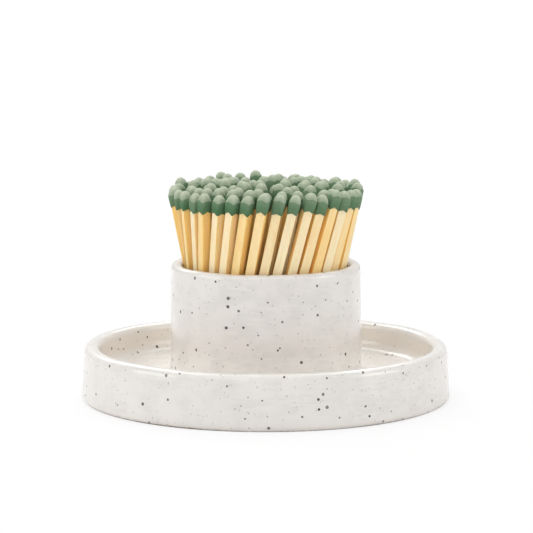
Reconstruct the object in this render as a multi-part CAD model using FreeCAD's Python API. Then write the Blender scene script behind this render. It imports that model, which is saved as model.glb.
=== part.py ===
"""Match striker: a stoneware cup and tray fired in one piece, with a fanned bundle of matches standing in the cup.

Millimetres, +Z up. The origin is the centre of the foot, on the table.
"""
import FreeCAD, Part
import cmath
import math
import os
import random
from FreeCAD import Vector

# Tray, the wide dish round the cup
TRAY_DIAMETER = 95.2
TRAY_TAPER = 1.6
TRAY_HEIGHT = 14.0
TRAY_WALL = 3.9
TRAY_FLOOR_HEIGHT = 6.4
TRAY_RIM_ROUND = 1.7
TRAY_FLOOR_FILLET = 3.2

# Foot, the ring under the tray that stands on the table, round a rough unglazed recess
FOOT_RING_WIDTH = 5.5
FOOT_RECESS_DEPTH = 1.6
FOOT_RECESS_SLOPE = 1.2
FOOT_EDGE_ROUND = 1.3

# Cup, rising from the middle of the tray and a little wider at its base than at its rim
CUP_DIAMETER = 48.7
CUP_TAPER = 0.9
CUP_HEIGHT = 35.0
CUP_WALL = 2.85
CUP_FLOOR_HEIGHT = 5.6
CUP_RIM_ROUND = 1.25
CUP_BASE_FILLET = 2.4
CUP_FLOOR_FILLET = 2.0

# Rounds: the facets in each, and the most of an edge that one may take
ROUND_FACETS = 2
ROUND_SHARE = 0.45

# One match: a square stick whose end sits in a dipped head
MATCH_LENGTH = 50.8
STICK_WIDTH = 2.35
HEAD_LENGTH = 5.15
HEAD_SKIRT_THICKNESS = 0.13
HEAD_SHOULDER_THICKNESS = 0.37
HEAD_CORNER_SHARE = 0.75
HEAD_DOME = 1.9
HEAD_CROWN_DROP = 0.5
HEAD_CROWN_INSET = 0.3
STICK_END_COVER = 0.1

# The bundle: where the matches stand and how they lean
FOOT_INSET = 2.4
TWIST = 0.86
FACING_HEIGHT = 16.0
STAND_CLEARANCE = 0.05
RIM_CLEARANCE = 0.12
STICK_GAP = 0.08
HEAD_GAP = 0.08
HEART_RADIUS = 2.0
EMPTY_SHARE = 0.08

# How unevenly the matches are cut and stand
LENGTH_SCATTER = 0.5
SHAKES = 24
SHAKE_STEP = 0.45
SHAKE_TURN = math.radians(6)
NEIGHBOUR_WIDTHS = 3
SEED = 141

# The matches are kept in this many equal sectors
BUNCHES = 12


def eased(radius, *edges):
    """The radius of a round, limited by the lengths of the edges that it takes its ends from."""
    return min(radius, ROUND_SHARE * min(edges))


def corner_round(before, corner, after, radius):
    """Points along the arc of a radius that replaces one corner of a profile."""
    back = (before - corner).normalize()
    onward = (after - corner).normalize()
    half = back.getAngle(onward) / 2
    centre = corner + (back + onward).normalize() * (radius / math.sin(half))
    start = corner + back * (radius / math.tan(half)) - centre
    turn = math.degrees(2 * half - math.pi)
    steps = [turn * i / ROUND_FACETS for i in range(ROUND_FACETS + 1)]
    return [centre + FreeCAD.Rotation(back.cross(onward), step).multVec(start) for step in steps]


def profile_edge(start, end):
    """A straight edge of a profile. A taper is kept as a B-spline, which is revolved in one row of facets."""
    line = Part.LineSegment(start, end)
    tapered = min(abs(start.x - end.x), abs(start.z - end.z)) > Part.Precision.confusion()
    return line.toBSpline().toShape() if tapered else line.toShape()


def profile(corners):
    """A closed face in the XZ plane from corners given as radius, height and the radius of their round."""
    places = [Vector(radius, 0, height) for radius, height, _ in corners]
    points = []
    for i, (_, _, bend) in enumerate(corners):
        after = places[(i + 1) % len(places)]
        points += corner_round(places[i - 1], places[i], after, bend) if bend else [places[i]]
    return Part.Face(Part.Wire([profile_edge(a, b) for a, b in zip(points, points[1:] + points[:1])]))


def cup_bore():
    """The cup's inner radius."""
    return CUP_DIAMETER / 2 - CUP_WALL


def cup_and_tray():
    """The cup and the tray, one revolved piece that stands on a foot ring."""
    foot = TRAY_DIAMETER / 2
    recess = foot - FOOT_RING_WIDTH
    outside = foot - TRAY_TAPER / 2
    inside = outside - TRAY_WALL
    base = (CUP_DIAMETER + CUP_TAPER) / 2
    tray_depth = TRAY_HEIGHT - TRAY_FLOOR_HEIGHT
    tray_rim = eased(TRAY_RIM_ROUND, TRAY_WALL, tray_depth)
    cup_rim = eased(CUP_RIM_ROUND, CUP_WALL)
    outline = [
        (0, FOOT_RECESS_DEPTH, 0),
        (recess - FOOT_RECESS_SLOPE, FOOT_RECESS_DEPTH, 0),
        (recess, 0, 0),
        (foot, 0, eased(FOOT_EDGE_ROUND, FOOT_RING_WIDTH, TRAY_HEIGHT)),
        (outside, TRAY_HEIGHT, tray_rim),
        (inside, TRAY_HEIGHT, tray_rim),
        (inside, TRAY_FLOOR_HEIGHT, eased(TRAY_FLOOR_FILLET, tray_depth, inside - base)),
        (base, TRAY_FLOOR_HEIGHT, eased(CUP_BASE_FILLET, inside - base)),
        (CUP_DIAMETER / 2, CUP_HEIGHT, cup_rim),
        (cup_bore(), CUP_HEIGHT, cup_rim),
        (cup_bore(), CUP_FLOOR_HEIGHT, CUP_FLOOR_FILLET),
        (0, CUP_FLOOR_HEIGHT, 0),
    ]
    return profile(outline).revolve(Vector(0, 0, 0), Vector(0, 0, 1), 360)


def head_width():
    """The width of a head across its shoulder."""
    return STICK_WIDTH + 2 * HEAD_SHOULDER_THICKNESS


def stick_end():
    """How far a stick reaches into its head, from the skirt up."""
    return HEAD_LENGTH - HEAD_DOME - STICK_END_COVER


def square(width, height):
    """The four corners of a square, at a height."""
    half = width / 2
    return [Vector(x, y, height) for x, y in ((half, half), (-half, half), (-half, -half), (half, -half))]


def cut_square(width, height, cut):
    """The eight corners of a square whose own corners are cut off, two for each in the order of square."""
    points = []
    ring = square(width, height)
    for i, corner in enumerate(ring):
        for other in (ring[i - 1], ring[(i + 1) % 4]):
            points.append(corner + (other - corner).normalize() * cut)
    return points


def band(low, high):
    """The four sides between two squares."""
    return [(low[i - 1], low[i], high[i], high[i - 1]) for i in range(4)]


def cut_band(ring, cut):
    """The four sides and four corners between a square and a cut square."""
    sides = [(ring[i - 1], ring[i], cut[2 * i], cut[2 * i - 1]) for i in range(4)]
    corners = [(ring[i], cut[2 * i], cut[2 * i + 1]) for i in range(4)]
    return sides + corners


def head():
    """One dipped head with its skirt at height 0: widest at the shoulder, and hollow where the stick's end sits."""
    skirt = square(STICK_WIDTH + 2 * HEAD_SKIRT_THICKNESS, 0)
    corner_cut = 2 * HEAD_SHOULDER_THICKNESS * HEAD_CORNER_SHARE
    shoulder = cut_square(head_width(), HEAD_LENGTH - HEAD_DOME, corner_cut)
    crown = square(STICK_WIDTH - 2 * HEAD_CROWN_INSET, HEAD_LENGTH - HEAD_CROWN_DROP)
    top = Vector(0, 0, HEAD_LENGTH)
    mouth = square(STICK_WIDTH, 0)
    socket = square(STICK_WIDTH, stick_end())
    faces = cut_band(skirt, shoulder) + cut_band(crown, shoulder)
    faces += [(crown[i - 1], crown[i], top) for i in range(4)]
    faces += band(skirt, mouth) + band(mouth, socket) + [tuple(socket)]
    shell = Part.makeShell([Part.Face(Part.makePolygon(face + face[:1])) for face in faces])
    return Part.Solid(shell)


class Match:
    """One match: foot and tip are where its axis is at the cup's floor and a match's length above it, as x + iy."""

    def __init__(self, foot, tip, roll, length):
        self.foot = foot
        self.tip = tip
        self.roll = roll
        self.length = length
        slope = (tip - foot) / MATCH_LENGTH
        self.along = Vector(slope.real, slope.imag, 1).normalize()
        facing = cmath.rect(1, cmath.phase(foot + slope * FACING_HEIGHT) + roll)
        out = Vector(facing.real, facing.imag, 0)
        self.side = (out - self.along * out.dot(self.along)).normalize()
        self.across = self.along.cross(self.side)
        rise = STAND_CLEARANCE + STICK_WIDTH / 2 * (abs(self.side.z) + abs(self.across.z))
        start = foot + slope * rise
        self.start = Vector(start.real, start.imag, CUP_FLOOR_HEIGHT + rise)
        self.boxes = (
            self.box(0, self.stick_length(), STICK_WIDTH + STICK_GAP),
            self.box(length - HEAD_LENGTH, length, head_width() + HEAD_GAP),
        )

    def stick_length(self):
        """The stick's length, without the head's cap."""
        return self.length - HEAD_LENGTH + stick_end()

    def box(self, low, high, width):
        """The centre and the three half axes of the box round the match from one distance along it to another."""
        half = width / 2
        centre = self.start + self.along * ((low + high) / 2)
        return centre, (self.side * half, self.across * half, self.along * ((high - low) / 2))

    def reach(self, height):
        """How far the stick's edges are from the cup's axis at a height."""
        half = STICK_WIDTH / 2
        spots = []
        for i, j in ((1, 1), (1, -1), (-1, 1), (-1, -1)):
            edge = self.start + (self.side * i + self.across * j) * half
            spot = edge + self.along * ((height - edge.z) / self.along.z)
            spots.append(math.hypot(spot.x, spot.y))
        return max(spots)

    def fits_cup(self):
        """Whether the match stands on the flat of the floor and clears the cup's rim."""
        on_floor = self.reach(CUP_FLOOR_HEIGHT) < cup_bore() - CUP_FLOOR_FILLET
        return on_floor and self.reach(CUP_HEIGHT) < cup_bore() - RIM_CLEARANCE

    def clears(self, others):
        """Whether the match touches none of the others."""
        return all(apart(mine, theirs) for other in others for mine in self.boxes for theirs in other.boxes)

    def placement(self, distance):
        """The placement that takes Z to the match's axis, at a distance along it."""
        x, y, z = self.side, self.across, self.along
        spot = self.start + z * distance
        rows = (x.x, y.x, z.x, spot.x, x.y, y.y, z.y, spot.y, x.z, y.z, z.z, spot.z, 0, 0, 0, 1)
        return FreeCAD.Placement(FreeCAD.Matrix(*rows))


def apart(one, two):
    """Whether a plane separates two boxes, each given as its centre and half axes."""
    offset = two[0] - one[0]
    halves = one[1] + two[1]
    directions = list(halves) + [a.cross(b) for a in one[1] for b in two[1]]
    return any(abs(offset.dot(d)) > sum(abs(half.dot(d)) for half in halves) for d in directions)


def fan(lean, height):
    """What a place on the floor is multiplied by, as x + iy, for the place above it in the unshaken bundle."""
    return 1 + complex(lean, TWIST) * height / MATCH_LENGTH


def upright(foot, lean):
    """An unshaken match."""
    return Match(foot, foot * fan(lean, MATCH_LENGTH), 0, MATCH_LENGTH)


def rim_lean(radius):
    """How much the bundle widens over a match's length, as a share, so that its outer ring leans on the cup's rim."""
    rise = (CUP_HEIGHT - CUP_FLOOR_HEIGHT) / MATCH_LENGTH
    at_rim = cup_bore() - RIM_CLEARANCE - STICK_WIDTH / math.sqrt(2)
    return (math.sqrt((at_rim / radius) ** 2 - (TWIST * rise) ** 2) - 1) / rise


def ring_count(radius, lean):
    """The most matches that stand side by side in a ring of a radius on the floor."""
    first = upright(complex(radius, 0), lean)
    count = int(2 * math.pi * radius / STICK_WIDTH)
    while count > 1 and not first.clears([upright(cmath.rect(radius, 2 * math.pi / count), lean)]):
        count -= 1
    return count


def ring_step(lean):
    """From one ring to the next on the floor: room for the sticks as they are turned there, and for the heads."""
    steps = []
    for height, width in ((0, STICK_WIDTH + STICK_GAP), (MATCH_LENGTH, head_width() + HEAD_GAP)):
        turn = abs(cmath.phase(fan(lean, height) / fan(lean, FACING_HEIGHT)))
        steps.append(width * (math.cos(turn) + math.sin(turn)) / abs(fan(lean, height)))
    return max(steps)


def standing_matches(chance):
    """The unshaken bundle, ring inside ring from the cup's wall to its heart, with some places left empty."""
    outer = cup_bore() - CUP_FLOOR_FILLET - FOOT_INSET - STICK_WIDTH / 2
    lean = rim_lean(outer)
    matches = []
    radius = outer
    while radius > HEART_RADIUS:
        count = ring_count(radius, lean)
        start = chance.random()
        for i in range(count):
            match = upright(cmath.rect(radius, 2 * math.pi * (start + i) / count), lean)
            wanted = radius == outer or chance.random() > EMPTY_SHARE
            if wanted and match.fits_cup() and match.clears(matches):
                matches.append(match)
        radius -= ring_step(lean)
    return matches


def shaken(match, chance):
    """The match with its foot, tip and facing moved a little."""
    foot = match.foot + cmath.rect(SHAKE_STEP * chance.random(), 2 * math.pi * chance.random())
    tip = match.tip + cmath.rect(SHAKE_STEP * chance.random(), 2 * math.pi * chance.random())
    return Match(foot, tip, match.roll + chance.uniform(-SHAKE_TURN, SHAKE_TURN), match.length)


def bundle():
    """The matches in the cup, cut to uneven lengths and shaken, with none touching another."""
    chance = random.Random(SEED)
    matches = []
    for match in standing_matches(chance):
        length = MATCH_LENGTH + chance.gauss(0, LENGTH_SCATTER)
        matches.append(Match(match.foot, match.tip, match.roll, length))
    near = NEIGHBOUR_WIDTHS * head_width()
    for _ in range(SHAKES):
        for i, match in enumerate(matches):
            trial = shaken(match, chance)
            others = [m for m in matches if m is not match and abs(m.foot - match.foot) < near]
            if trial.fits_cup() and trial.clears(others):
                matches[i] = trial
    return matches


def stick(match):
    """A match's square stick, which ends inside its head."""
    corner = Vector(-STICK_WIDTH / 2, -STICK_WIDTH / 2, 0)
    bar = Part.makeBox(STICK_WIDTH, STICK_WIDTH, match.stick_length(), corner)
    bar.Placement = match.placement(0).multiply(bar.Placement)
    return bar


def set_head(blank, match):
    """A copy of the head on the end of a match's stick."""
    placed = blank.copy()
    placed.Placement = match.placement(match.length - HEAD_LENGTH)
    return placed


def bunches(matches):
    """The matches sorted into equal sectors round the cup, by where they stand."""
    sectors = [[] for _ in range(BUNCHES)]
    for match in matches:
        sectors[math.floor(cmath.phase(match.foot) / (2 * math.pi) * BUNCHES) % BUNCHES].append(match)
    return sectors


def main():
    os.makedirs("parts", exist_ok=True)
    cup_and_tray().exportStep("parts/cup_and_tray.step")
    blank = head()
    sectors = bunches(bundle())
    for number, bunch in enumerate(sectors, 1):
        sticks = Part.makeCompound([stick(match) for match in bunch])
        heads = Part.makeCompound([set_head(blank, match) for match in bunch])
        sticks.exportStep(f"parts/match_sticks_{number}.step")
        heads.exportStep(f"parts/match_heads_{number}.step")
    print("matches in each sector:", [len(bunch) for bunch in sectors])


main()
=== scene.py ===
"""Match striker: a speckled stoneware cup and tray in one, with a bundle of green-headed matches."""

import math

import bpy
import numpy as np
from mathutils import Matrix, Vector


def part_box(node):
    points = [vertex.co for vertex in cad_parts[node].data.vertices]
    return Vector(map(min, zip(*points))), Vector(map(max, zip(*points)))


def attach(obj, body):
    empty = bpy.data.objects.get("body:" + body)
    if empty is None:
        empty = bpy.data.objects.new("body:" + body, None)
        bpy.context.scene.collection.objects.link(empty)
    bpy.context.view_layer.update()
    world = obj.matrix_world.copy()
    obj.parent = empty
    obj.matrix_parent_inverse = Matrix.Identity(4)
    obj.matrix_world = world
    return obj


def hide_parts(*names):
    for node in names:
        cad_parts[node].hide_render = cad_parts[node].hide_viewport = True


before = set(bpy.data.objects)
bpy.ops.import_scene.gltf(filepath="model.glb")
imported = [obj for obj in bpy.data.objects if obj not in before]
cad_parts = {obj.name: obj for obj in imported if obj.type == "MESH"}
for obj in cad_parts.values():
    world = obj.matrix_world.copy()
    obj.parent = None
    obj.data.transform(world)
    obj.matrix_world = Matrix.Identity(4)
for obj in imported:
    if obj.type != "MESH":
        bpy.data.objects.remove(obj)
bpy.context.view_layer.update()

bl_info = {
    "name": "Match Striker",
    "version": (1, 0, 0),
    "blender": (4, 5, 0),
    "location": "View3D > Sidebar > Match Striker",
    "description": "Builds a speckled stoneware match striker and the matches that stand in it",
    "category": "Object",
}

MM = 0.001
STICKS, HEADS = "match_sticks_", "match_heads_"
BUNCHES = sorted(int(name.removeprefix(STICKS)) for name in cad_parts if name.startswith(STICKS))
WARE_LOW, WARE_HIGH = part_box("cup_and_tray")
# What the foot's rounded edge takes off the tray's width, in millimetres
FOOT_ROUNDING = 0.1


# Sizes and colours that a user may change

def amount(name, description, value, least=0.0, **options):
    """A number property that has a least value."""
    return bpy.props.FloatProperty(name=name, description=description, default=value, min=least, **options)


def length(name, description, millimetres):
    """A length property, shown in scene units."""
    return amount(name, description, millimetres * MM, unit="LENGTH", subtype="DISTANCE", precision=5)


def share(name, description, value):
    """A property that is a share from 0 to 1."""
    return amount(name, description, value, max=1.0, subtype="FACTOR")


def power(name, description, watts):
    """The power of a light."""
    return amount(name, description, watts, unit="POWER")


def colour(name, description, *channels):
    """A linear colour property."""
    return bpy.props.FloatVectorProperty(
        name=name, description=description, default=channels, size=3, min=0.0, max=1.0, subtype="COLOR"
    )


def group_of(settings, name, description):
    """A group of settings inside another."""
    return bpy.props.PointerProperty(type=settings, name=name, description=description)


class StonewareSettings(bpy.types.PropertyGroup):
    tray_diameter: length(
        "Tray diameter", "Across the tray at its foot", (WARE_HIGH.x - WARE_LOW.x) / MM + FOOT_ROUNDING
    )
    tray_taper: length("Tray taper", "How much narrower the tray is at its rim", 1.6)
    tray_height: length("Tray height", "From the table to the tray's rim", 14.0)
    tray_wall: length("Tray wall", "Thickness of the tray's wall", 3.9)
    tray_floor: length("Tray floor", "Height of the tray's floor", 6.4)
    tray_rim_round: length("Tray rim round", "Radius of the tray's rim", 1.75)
    foot_ring: length("Foot ring", "Width of the ring that the tray stands on", 5.5)
    foot_recess: length("Foot recess", "Depth of the recess under the tray", 1.6)
    foot_slope: length("Foot slope", "Width of the slope from the recess to the foot ring", 1.2)
    foot_round: length("Foot round", "Radius of the foot's outer edge", 1.3)
    tray_fillet: length("Tray fillet", "Radius between the tray's floor and its wall", 3.2)
    cup_fillet: length("Cup fillet", "Radius between the tray's floor and the cup", 2.4)
    bore_fillet: length("Bore fillet", "Radius round the floor inside the cup", 2.0)
    cup_diameter: length("Cup diameter", "Across the cup at its rim", 48.7)
    cup_taper: length("Cup taper", "How much wider the cup is at its base", 0.9)
    cup_height: length("Cup height", "From the table to the cup's rim", WARE_HIGH.z / MM)
    cup_wall: length("Cup wall", "Thickness of the cup's wall", 2.85)
    cup_floor: length("Cup floor", "Height of the floor that the matches stand on", 5.6)
    cup_rim_round: length("Cup rim round", "Radius of the cup's rim", 1.3)
    unevenness: length("Unevenness", "How far the turned walls and rims wander", 0.16)
    glaze: colour("Glaze", "Warm white of the glaze", 0.80, 0.775, 0.74)
    grey_cloud: colour("Grey cloud", "Where the glaze is thin and greyish", 0.70, 0.68, 0.645)
    # Pink cloud is also the colour of the painted bounce light low on the cup
    pink_cloud_and_bounce: colour("Pink cloud", "Where the clay warms the glaze", 0.80, 0.74, 0.695)
    # Painted shade: a beige laid low on the tray's inner wall, standing for the shade there
    pool: colour("Pool", "The creamier glaze inside the tray's wall", 0.81, 0.735, 0.645)
    # Painted light: a white laid low on the cup and on the tray's floor round it, standing for the light
    # there
    painted_floor_light_tint: colour("Thick glaze", "Where the glaze runs white round the cup's foot", 0.93, 0.905, 0.865)
    speck: colour("Speck", "Iron specks that melt through the glaze", 0.026, 0.017, 0.011)
    clay: colour("Bare clay", "Unglazed foot", 0.36, 0.30, 0.25)
    cloudiness: share("Cloudiness", "How strongly the clouds show", 0.55)
    brush_marks: share("Brush marks", "How strongly the smears of the brush show", 0.42)
    gloss: share("Gloss", "Roughness of the glaze", 0.3)


class MatchSettings(bpy.types.PropertyGroup):
    broken_edge: length("Broken edge", "Width of the worn edges of a stick", 0.09)
    skirt: length("Skirt", "Thickness of the head at its lower edge", 0.17)
    shoulder: length("Shoulder", "How far the head stands proud of the stick below its dome", 0.37)
    dome: length("Dome", "Height of the head's dome", 1.95)
    dip_tooth: length("Dip tooth", "How much further the dip runs down a stick's corners", 0.5)
    pale_wood: colour("Pale wood", "Fresh split aspen", 0.99, 0.87, 0.64)
    # Warm wood is also the colour of the painted shade on the faces of the sticks that look round the cup
    warm_wood: colour("Warm wood", "The darker, golden sticks and streaks", 0.99, 0.65, 0.22)
    head_green: colour("Head green", "Sides of the heads", 0.055, 0.155, 0.065)
    # Dust green is also the colour of the painted light from above on the heads' domes
    dust_and_top_light_green: colour("Dust green", "Dusty domes of the heads", 0.49, 0.54, 0.41)


class StageSettings(bpy.types.PropertyGroup):
    floor: colour("Floor", "Colour of the studio floor", 0.9, 0.9, 0.9)
    floor_glow: share("Floor glow", "How much of the floor's look is plain white", 0.8)
    key_power: power("Key light", "Power of the large light above", 1.85)
    back_power: power("Back light", "Power of the wide light above and behind", 2.7)
    corner_power: power("Corner lights", "Power of the two small lights behind", 0.85)
    glint_power: power("Glint light", "Power of the small bright light that glints on the rims", 0.58)
    front_power: power("Front light", "Power of the light beside the camera", 1.18)
    side_power: power("Side lights", "Power of the lights on both sides", 2.2)
    sky: amount("Sky", "Strength of the even light all round", 0.3)
    camera_distance: length("Camera distance", "From the striker's axis to the camera", 700.0)
    camera_height: length("Camera height", "Height of the camera above the table", 133.3)
    aim_height: length("Aim height", "Height of the point that the camera looks at", 33.95)
    lens: amount("Lens", "Focal length in millimetres", 185.6, least=1.0, unit="CAMERA")


class StrikerSettings(bpy.types.PropertyGroup):
    stoneware: group_of(StonewareSettings, "Stoneware", "The cup and tray")
    matches: group_of(MatchSettings, "Matches", "Sticks and heads")
    stage: group_of(StageSettings, "Stage", "Floor, light and camera")


# Meshes

def mesh_from_faces(name, points, quads, fans=(), caps=()):
    """A smooth mesh from an array of points and arrays of corner numbers with 4, 3 or more in a row."""
    kinds = [np.asarray(faces) for faces in (quads, fans, caps) if len(faces)]
    corners = np.concatenate([faces.ravel() for faces in kinds]).astype(np.int32)
    sizes = np.concatenate([np.full(len(faces), faces.shape[1]) for faces in kinds]).astype(np.int32)
    mesh = bpy.data.meshes.new(name)
    mesh.vertices.add(len(points))
    mesh.vertices.foreach_set("co", np.asarray(points, np.float32).ravel())
    mesh.loops.add(len(corners))
    mesh.loops.foreach_set("vertex_index", corners)
    mesh.polygons.add(len(sizes))
    mesh.polygons.foreach_set("loop_start", (np.cumsum(sizes) - sizes).astype(np.int32))
    mesh.polygons.foreach_set("use_smooth", np.ones(len(sizes), bool))
    mesh.update(calc_edges=True)
    return mesh


def add_attribute(mesh, name, values):
    """Gives every point of the mesh a number or a vector."""
    values = np.asarray(values, np.float32)
    kind, field = ("FLOAT", "value") if values.ndim == 1 else ("FLOAT_VECTOR", "vector")
    mesh.attributes.new(name, kind, "POINT").data.foreach_set(field, values.ravel())


def tube_quads(rings, around):
    """Corner numbers of the quads between rings of points that close on themselves."""
    ring, step = np.meshgrid(np.arange(rings - 1), np.arange(around), indexing="ij")
    here = ring * around + step
    beside = ring * around + (step + 1) % around
    return np.stack([here, beside, beside + around, here + around], axis=-1).reshape(-1, 4)


def add_object(name, data):
    """Puts a mesh, a light or a camera in the scene."""
    made = bpy.data.objects.new(name, data)
    bpy.context.scene.collection.objects.link(made)
    return made


def pole_fan(pole, ring):
    """Corner numbers of the triangles between a pole and the ring of points about it."""
    return np.stack([np.full(len(ring), pole), ring, np.roll(ring, -1)], axis=1)


def finish_piece(mesh, material, node):
    """Puts a mesh in the scene as a piece that stands for a CAD node."""
    piece = add_object(mesh.name, mesh)
    mesh.materials.append(material)
    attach(piece, "root")
    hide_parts(node)


# Shader nodes

# A Mix node's colour sockets share their names with others, so they go by number
FIRST_COLOUR, SECOND_COLOUR, MIXED_COLOUR = 6, 7, 2


def set_inputs(tree, made, inputs):
    """Sets each input of a node to a value, or links it to a socket."""
    for name, value in inputs.items():
        if isinstance(value, bpy.types.NodeSocket):
            tree.links.new(value, made.inputs[name])
        else:
            made.inputs[name].default_value = value


def add_node(tree, kind, inputs=None, **choices):
    """Adds a shader node. Each input is a value, or the socket that it is linked to."""
    made = tree.nodes.new("ShaderNode" + kind)
    for name, choice in choices.items():
        setattr(made, name, choice)
    set_inputs(tree, made, inputs or {})
    return made


def add_math(tree, operation, first, second=0.0, clamp=False):
    """The result of a sum on one or two numbers."""
    return add_node(tree, "Math", {0: first, 1: second}, operation=operation, use_clamp=clamp).outputs[0]


def plus(tree, first, second, clamp=False):
    """Two numbers added."""
    return add_math(tree, "ADD", first, second, clamp)


def minus(tree, first, second, clamp=False):
    """The second number taken from the first."""
    return add_math(tree, "SUBTRACT", first, second, clamp)


def times(tree, first, second):
    """Two numbers multiplied."""
    return add_math(tree, "MULTIPLY", first, second)


def larger(tree, first, second):
    """The larger of two numbers."""
    return add_math(tree, "MAXIMUM", first, second)


def vector_math(tree, operation, first, second=(0.0, 0.0, 0.0), output="Vector"):
    """The result of a sum on one or two vectors."""
    return add_node(tree, "VectorMath", {0: first, 1: second}, operation=operation).outputs[output]


def add_step(tree, value, low, high, top=1.0):
    """A smooth step from 0 where the value is at low to top where it is at high."""
    inputs = {"Value": value, "From Min": low, "From Max": high, "To Min": 0.0, "To Max": top}
    return add_node(tree, "MapRange", inputs, interpolation_type="SMOOTHSTEP", clamp=True).outputs[0]


def add_blend(tree, mask, first, second):
    """A colour between two, as the mask says. Each is a colour, or the socket that gives it."""
    inputs = {"Factor": mask}
    for number, value in ((FIRST_COLOUR, first), (SECOND_COLOUR, second)):
        inputs[number] = value if isinstance(value, bpy.types.NodeSocket) else (*value, 1.0)
    return add_node(tree, "Mix", inputs, data_type="RGBA").outputs[MIXED_COLOUR]


def add_noise(tree, place, scale, detail, roughness=0.5, distortion=0.0, output="Fac"):
    """Layered noise, about 0.5 on average."""
    inputs = {"Vector": place, "Scale": scale, "Detail": detail, "Roughness": roughness}
    return add_node(tree, "TexNoise", {**inputs, "Distortion": distortion}).outputs[output]


def shade(tint, strength):
    """A colour made darker or lighter."""
    return tuple(channel * strength for channel in tint)


def new_group(name, vectors, numbers):
    """An empty shader node group with vector inputs, number inputs that have defaults, and an output
    named Mask. Returns its tree, its input sockets and its output node."""
    tree = bpy.data.node_groups.new(name, "ShaderNodeTree")
    for label in vectors:
        tree.interface.new_socket(label, in_out="INPUT", socket_type="NodeSocketVector")
    for label, value in numbers.items():
        socket = tree.interface.new_socket(label, in_out="INPUT", socket_type="NodeSocketFloat")
        socket.default_value = value
    tree.interface.new_socket("Mask", in_out="OUTPUT", socket_type="NodeSocketFloat")
    entry = tree.nodes.new("NodeGroupInput")
    leave = tree.nodes.new("NodeGroupOutput")
    return tree, entry.outputs, leave


def place_group(tree, group, inputs):
    """Puts a node group in a material, sets its inputs and gives its mask."""
    made = tree.nodes.new("ShaderNodeGroup")
    made.node_tree = group
    set_inputs(tree, made, inputs)
    return made.outputs["Mask"]


# What a pattern of specks needs: cells to the metre, the share of them that hold a speck, how far below the
# surface one still shows, its radius, how soft its edge is and how ragged
SPECK_INPUTS = ("Cells", "Share", "Depth", "Radius", "Softness", "Raggedness")
BOLD_SPECKS = (360.0, 0.75, 0.3 * MM, 0.5 * MM, 0.2, 0.5)
SMALL_SPECKS = (450.0, 0.75, 0.3 * MM, 0.27 * MM, 0.75, 0.5)
FAINT_SPECKS = (620.0, 0.8, 0.3 * MM, 0.32 * MM, 0.95, 0.9)
HEAD_CHIPS = (900.0, 0.4, 0.2 * MM, 0.16 * MM, 0.7, 0.5)
# Ripples of a speck's ragged edge to each length of its radius
RIPPLES = 0.9
# The smallest speck of a pattern and its faintest, as shares of the largest and the darkest
SMALLEST_DOT, FAINTEST_DOT = 0.45, 0.75


def specks_group():
    """Scattered specks. Each cell of a 3D pattern has a point. Where the surface passes within the
    depth of a chosen point, it shows a round dot about the point's foot on the surface: the distance in
    the surface is the root of the whole distance squared less the squared distance along the normal.
    Noise makes the edges ragged, and each dot has its own size and tone."""
    numbers = dict(zip(SPECK_INPUTS, BOLD_SPECKS))
    tree, given, leave = new_group("Scattered Specks", ("Vector", "Normal"), numbers)
    fineness = add_math(tree, "DIVIDE", RIPPLES, given["Radius"])
    ripple = add_noise(tree, given["Vector"], fineness, 1.0, output="Color")
    centred = vector_math(tree, "SUBTRACT", ripple, (0.5, 0.5, 0.5))
    reach = times(tree, given["Raggedness"], given["Radius"])
    nudge = add_node(tree, "VectorMath", {0: centred, "Scale": reach}, operation="SCALE").outputs[0]
    place = vector_math(tree, "ADD", given["Vector"], nudge)
    cells = add_node(tree, "TexVoronoi", {"Vector": given["Vector"], "Scale": given["Cells"]})
    away = vector_math(tree, "SUBTRACT", place, cells.outputs["Position"])
    whole = vector_math(tree, "LENGTH", away, output="Value")
    deep = vector_math(tree, "DOT_PRODUCT", away, given["Normal"], output="Value")
    squares = minus(tree, times(tree, whole, whole), times(tree, deep, deep))
    flat = add_math(tree, "SQRT", larger(tree, squares, 0.0))
    chance = add_node(tree, "SeparateColor", {0: cells.outputs["Color"]})
    near = add_math(tree, "LESS_THAN", add_math(tree, "ABSOLUTE", deep), given["Depth"])
    held = times(tree, near, add_math(tree, "LESS_THAN", chance.outputs[0], given["Share"]))
    size = plus(tree, times(tree, chance.outputs[1], 1 - SMALLEST_DOT), SMALLEST_DOT)
    radius = times(tree, given["Radius"], size)
    inner = times(tree, radius, minus(tree, 1.0, given["Softness"]))
    dot = minus(tree, 1.0, add_step(tree, flat, inner, radius))
    tone = plus(tree, times(tree, chance.outputs[2], 1 - FAINTEST_DOT), FAINTEST_DOT)
    tree.links.new(times(tree, times(tree, dot, held), tone), leave.inputs["Mask"])
    return tree


# Half the width of the step at full contrast, and how much more it is at none
SHARP_STEP, SOFTER_BY = 0.02, 0.35


def clouds_group():
    """Soft clouds: layered noise, spread to the whole of 0 to 1 by a step about its middle. The step is
    narrower with more contrast."""
    numbers = {"Scale": 100.0, "Detail": 2.0, "Contrast": 0.5}
    tree, given, leave = new_group("Soft Clouds", ("Vector",), numbers)
    noise = add_noise(tree, given["Vector"], given["Scale"], given["Detail"], distortion=0.3)
    half = plus(tree, times(tree, minus(tree, 1.0, given["Contrast"]), SOFTER_BY), SHARP_STEP)
    mask = add_step(tree, noise, minus(tree, 0.5, half), plus(tree, 0.5, half))
    tree.links.new(mask, leave.inputs["Mask"])
    return tree


GROUP_MAKERS = {"Scattered Specks": specks_group, "Soft Clouds": clouds_group}


def shared_group(name):
    """The node group of a name, made the first time that it is wanted."""
    return bpy.data.node_groups.get(name) or GROUP_MAKERS[name]()


def add_cloud(tree, place, scale, detail, contrast):
    """A mask of soft clouds."""
    inputs = {"Vector": place, "Scale": scale, "Detail": detail, "Contrast": contrast}
    return place_group(tree, shared_group("Soft Clouds"), inputs)


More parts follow.
